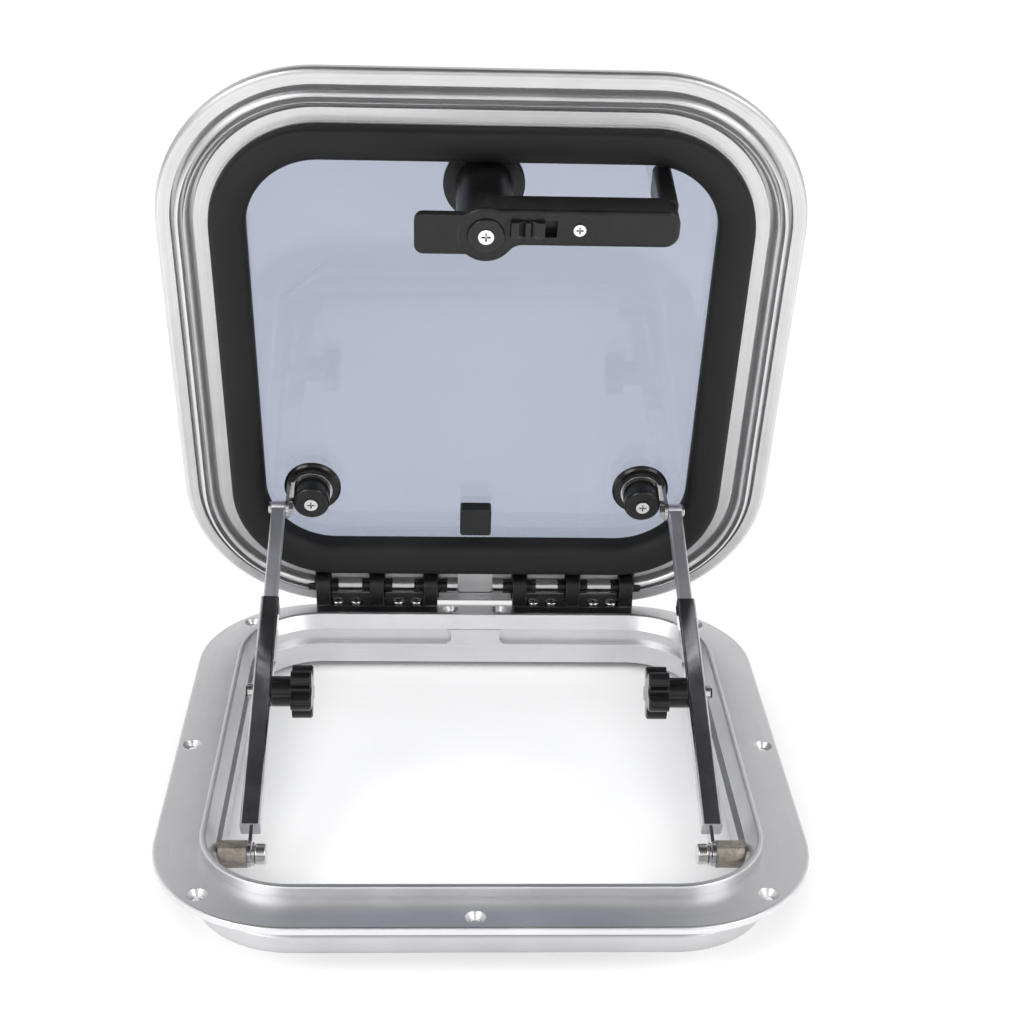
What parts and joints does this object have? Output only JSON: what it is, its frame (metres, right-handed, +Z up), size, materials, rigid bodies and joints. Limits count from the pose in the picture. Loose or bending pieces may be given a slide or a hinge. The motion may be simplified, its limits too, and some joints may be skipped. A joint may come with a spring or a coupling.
{
  "type": "deck hatch",
  "caption": "Square deck hatch, rounded corners: tinted lens in an aluminium lid on a rear hinge, inside latch handle, telescopic stays with clamp knobs, flanged base.",
  "frame": {"origin": "centre of the deck cut-out on the deck surface, in the plane of the flange's underside", "axes": "+Z up out of the deck, +Y towards the hinges, +X to the right seen from the front"},
  "size_m": [0.37, 0.3618, 0.394],
  "materials": {
    "frame_aluminium": "satin anodised",
    "lid_aluminium": "polished, drawn streaks",
    "stainless": "polished",
    "bright_screws": "bright",
    "post_metal": "turned, warm grey",
    "black_plastic": "matte, worn edges",
    "black_gloss": "semi-gloss",
    "seal_rubber": "matte",
    "tinted_lens": "bluish grey acrylic"
  },
  "bodies": {
    "base": {"base_frame": "frame_aluminium", "base_joining_plate": "frame_aluminium", "hinge_block_left": "black_plastic", "hinge_block_right": "black_plastic", "hinge_screws": "bright_screws", "stay_post_left": "post_metal", "stay_post_right": "post_metal", "low_bolts": "stainless", "low_washers": "stainless"},
    "lid": {"lid_frame": "lid_aluminium", "lid_joining_plate": "lid_aluminium", "lens": "tinted_lens", "lens_bond": "seal_rubber", "lid_seal": "seal_rubber", "keeper_block": "black_plastic", "pad_discs": "black_plastic", "stay_clip_left": "stainless", "stay_clip_right": "stainless", "pad_caps": "black_gloss", "pad_screws": "bright_screws", "outer_buttons": "black_gloss", "clip_nuts": "stainless", "handle_bush": "black_plastic", "handle_outer_plate": "black_plastic", "lens_gasket": "seal_rubber", "hinge_pins": "stainless", "pin_sleeves": "black_plastic"},
    "handle": {"handle_spindle": "stainless", "handle_lever": "black_plastic", "handle_cap": "black_gloss", "handle_screw": "bright_screws", "lock_plate": "black_plastic", "lock_plate_screw": "bright_screws"},
    "lock": {"lock_slider": "black_plastic"},
    "stay_lower_left": {"stay_outer_left": "stainless", "stud_nut_left": "stainless"},
    "stay_upper_left": {"stay_inner_left": "stainless", "stay_bolt_left": "stainless"},
    "knob_left": {"star_knob_left": "black_gloss"},
    "stay_lower_right": {"stay_outer_right": "stainless", "stud_nut_right": "stainless"},
    "stay_upper_right": {"stay_inner_right": "stainless", "stay_bolt_right": "stainless"},
    "knob_right": {"star_knob_right": "black_gloss"}
  },
  "joints": [
    {"name": "lid_hinge", "type": "hinge", "parent": "base", "child": "lid", "pos_m": [0, 0.17, 0.02], "axis": [-1, 0, 0], "range_deg": [-77, 5]},
    {"name": "handle_turn", "type": "hinge", "parent": "lid", "child": "handle", "pos_m": [0, 0.11312, 0.30193], "axis": [0, -0.9744, -0.225], "range_deg": [-90, 0]},
    {"name": "lock_slide", "type": "slide", "parent": "handle", "child": "lock", "axis": [1, 0, 0], "range_m": [0, 0.006]},
    {"name": "stay_tilt_left", "type": "hinge", "parent": "base", "child": "stay_lower_left", "pos_m": [-0.125, -0.102, -0.00325], "axis": [1, 0, 0], "range_deg": [-19.4, 1.4]},
    {"name": "stay_slide_left", "type": "slide", "parent": "stay_lower_left", "child": "stay_upper_left", "axis": [0, 0.9312, 0.3646], "range_m": [-0.0615, 0.0043]},
    {"name": "knob_turn_left", "type": "hinge", "parent": "stay_lower_left", "child": "knob_left", "pos_m": [-0.125, 0.00089, 0.03704], "axis": [1, 0, 0], "range_deg": [-270, 0]},
    {"name": "stay_tilt_right", "type": "hinge", "parent": "base", "child": "stay_lower_right", "pos_m": [0.125, -0.102, -0.00325], "axis": [1, 0, 0], "range_deg": [-19.4, 1.4]},
    {"name": "stay_slide_right", "type": "slide", "parent": "stay_lower_right", "child": "stay_upper_right", "axis": [0, 0.9312, 0.3646], "range_m": [-0.0615, 0.0043]},
    {"name": "knob_turn_right", "type": "hinge", "parent": "stay_lower_right", "child": "knob_right", "pos_m": [0.125, 0.00089, 0.03704], "axis": [1, 0, 0], "range_deg": [-270, 0]}
  ],
  "couplings": [
    {"joint": "stay_tilt_left", "follows": "lid_hinge", "ratio": 0.25019},
    {"joint": "stay_slide_left", "follows": "lid_hinge", "m_per_rad": 0.045294},
    {"joint": "stay_tilt_right", "follows": "lid_hinge", "ratio": 0.25019},
    {"joint": "stay_slide_right", "follows": "lid_hinge", "m_per_rad": 0.045294}
  ]
}
